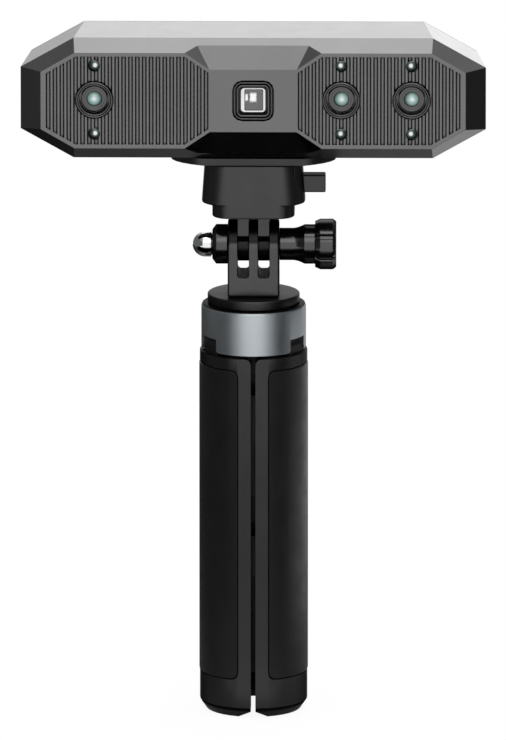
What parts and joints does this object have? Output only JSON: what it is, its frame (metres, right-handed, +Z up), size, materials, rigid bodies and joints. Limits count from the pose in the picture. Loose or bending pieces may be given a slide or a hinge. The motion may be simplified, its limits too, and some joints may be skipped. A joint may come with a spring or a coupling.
{
  "type": "handheld three-d scanner",
  "caption": "Handheld three-d scanner: a wide eight-sided camera head tilting on a clamped three-prong joint above a folding mini tripod handle.",
  "frame": {"origin": "centre of the folded handle's underside, on the surface it stands on", "axes": "+Z up the handle, -Y the way the cameras look, +X to the right seen from the front"},
  "size_m": [0.1404, 0.0328, 0.2101],
  "materials": {
    "head_shell": "fine satin, dark grey",
    "black_plastic": "satin black",
    "gloss_black": "moulded gloss black",
    "grey_plastic": "satin dark grey",
    "rubber": "matt black rubber",
    "anodised": "blue-grey anodised",
    "chrome": "polished",
    "steel": "machined",
    "dark_glass": "coated lens glass",
    "bright_rim": "bright",
    "board": "coated circuit board",
    "bench": "milled",
    "light_pipe": "clear moulded"
  },
  "bodies": {
    "tripod": {"tripod_collar": "anodised", "swivel_stud": "steel", "right_hinge_pin": "steel", "left_hinge_pin": "steel", "rear_hinge_pin": "steel"},
    "leg_right": {"right_leg": "grey_plastic", "right_grip": "rubber", "right_foot": "rubber"},
    "leg_left": {"left_leg": "grey_plastic", "left_grip": "rubber", "left_foot": "rubber"},
    "leg_rear": {"rear_leg": "grey_plastic", "rear_grip": "rubber", "rear_foot": "rubber"},
    "mount": {"three_prong_bracket": "black_plastic", "bracket_disc": "black_plastic", "nut_holder": "gloss_black", "cap_nut": "chrome"},
    "clamp_screw": {"thumb_knob": "gloss_black", "clamp_bolt": "steel"},
    "release": {"release_button": "black_plastic"},
    "scan_key": {"scan_button": "grey_plastic"},
    "scanner": {"front_shell": "head_shell", "rear_shell": "head_shell", "base_flange": "head_shell", "projector_module": "black_plastic", "receiver_body": "black_plastic", "latch_cover": "black_plastic", "camera_ring_1": "grey_plastic", "camera_ring_2": "grey_plastic", "camera_ring_3": "grey_plastic", "camera_barrel_1": "grey_plastic", "camera_barrel_2": "grey_plastic", "camera_barrel_3": "grey_plastic", "projector_bezel": "grey_plastic", "latch_spring": "steel", "usb_socket": "steel", "rear_screw_1": "steel", "rear_screw_2": "steel", "rear_screw_3": "steel", "rear_screw_4": "steel", "mount_screw": "steel", "camera_lens_1": "dark_glass", "camera_lens_2": "dark_glass", "camera_lens_3": "dark_glass", "light_lens_1": "dark_glass", "light_lens_2": "dark_glass", "light_lens_3": "dark_glass", "light_lens_4": "dark_glass", "light_lens_5": "dark_glass", "light_lens_6": "dark_glass", "projector_glass": "dark_glass", "projector_rim": "bright_rim", "main_board": "board", "optical_bench": "bench", "status_light": "light_pipe"}
  },
  "joints": [
    {"name": "right_leg_hinge", "type": "hinge", "parent": "tripod", "child": "leg_right", "pos_m": [0.01108, -0.0064, 0.1143], "axis": [-0.5, -0.866, 0], "range_deg": [0, 55]},
    {"name": "left_leg_hinge", "type": "hinge", "parent": "tripod", "child": "leg_left", "pos_m": [-0.01108, -0.0064, 0.1143], "axis": [-0.5, 0.866, 0], "range_deg": [0, 55]},
    {"name": "rear_leg_hinge", "type": "hinge", "parent": "tripod", "child": "leg_rear", "pos_m": [0, 0.0128, 0.1143], "axis": [1, 0, 0], "range_deg": [0, 55]},
    {"name": "bracket_swivel", "type": "hinge", "parent": "tripod", "child": "mount", "pos_m": [0, 0, 0.1263], "axis": [0, 0, 1], "continuous": true},
    {"name": "head_tilt", "type": "hinge", "parent": "mount", "child": "scanner", "pos_m": [0, 0, 0.144], "axis": [1, 0, 0], "range_deg": [-90, 90]},
    {"name": "knob_turn", "type": "hinge", "parent": "mount", "child": "clamp_screw", "pos_m": [0.0165, 0, 0.144], "axis": [1, 0, 0], "continuous": true},
    {"name": "release_press", "type": "slide", "parent": "scanner", "child": "release", "axis": [-1, 0, 0], "range_m": [0, 0.0018], "stiffness_N_per_m": 400, "springref_m": -0.002, "deforming": ["latch_spring"]},
    {"name": "scan_press", "type": "slide", "parent": "scanner", "child": "scan_key", "axis": [0, -1, 0], "range_m": [0, 0.0008], "stiffness_N_per_m": 400, "springref_m": -0.001}
  ]
}
